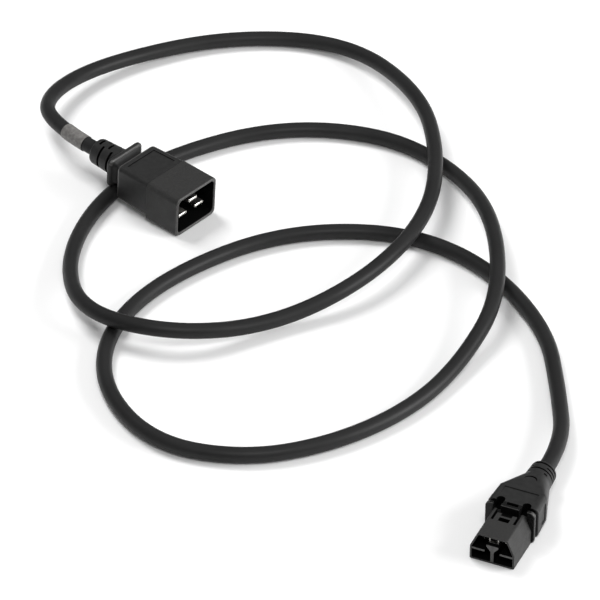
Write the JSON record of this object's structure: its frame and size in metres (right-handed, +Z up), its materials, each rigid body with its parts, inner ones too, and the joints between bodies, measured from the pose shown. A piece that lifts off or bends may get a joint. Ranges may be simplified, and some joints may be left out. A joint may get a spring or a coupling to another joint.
{
  "type": "power cord",
  "caption": "Black mains power cord with a skirted C20 plug, a round cable lying in loose turns and a latching rack power connector.",
  "frame": {"origin": "on the floor under the middle of the box that holds the plug and the connector", "axes": "+Z up from the floor the cord lies on; +X the way the plug's pins point, seen from above; the connector points mostly along -Y"},
  "size_m": [0.4857, 0.3715, 0.0286],
  "materials": {
    "hard_plastic": "fine spark-eroded texture, black",
    "soft_overmold": "satin moulded elastomer, black",
    "collar_plastic": "polished black plastic",
    "cable_jacket": "satin extruded PVC, black",
    "label_sleeve": "bare grey sleeve, matt",
    "nickel_plate": "nickel-plated brass",
    "core_brown": "brown core insulation",
    "core_blue": "blue core insulation",
    "core_green": "green core insulation"
  },
  "bodies": {
    "root": {"plug_shroud": "hard_plastic", "connector_housing": "hard_plastic", "connector_collar": "collar_plastic", "plug_overmold": "soft_overmold", "connector_overmold": "soft_overmold", "cable": "cable_jacket", "label_band": "label_sleeve", "plug_line_pin": "nickel_plate", "connector_line_contact": "nickel_plate", "plug_line_core": "core_brown", "connector_line_core": "core_brown", "plug_neutral_pin": "nickel_plate", "connector_neutral_contact": "nickel_plate", "plug_neutral_core": "core_blue", "connector_neutral_core": "core_blue", "plug_earth_pin": "nickel_plate", "connector_earth_contact": "nickel_plate", "plug_earth_core": "core_green", "connector_earth_core": "core_green"}
  },
  "joints": []
}
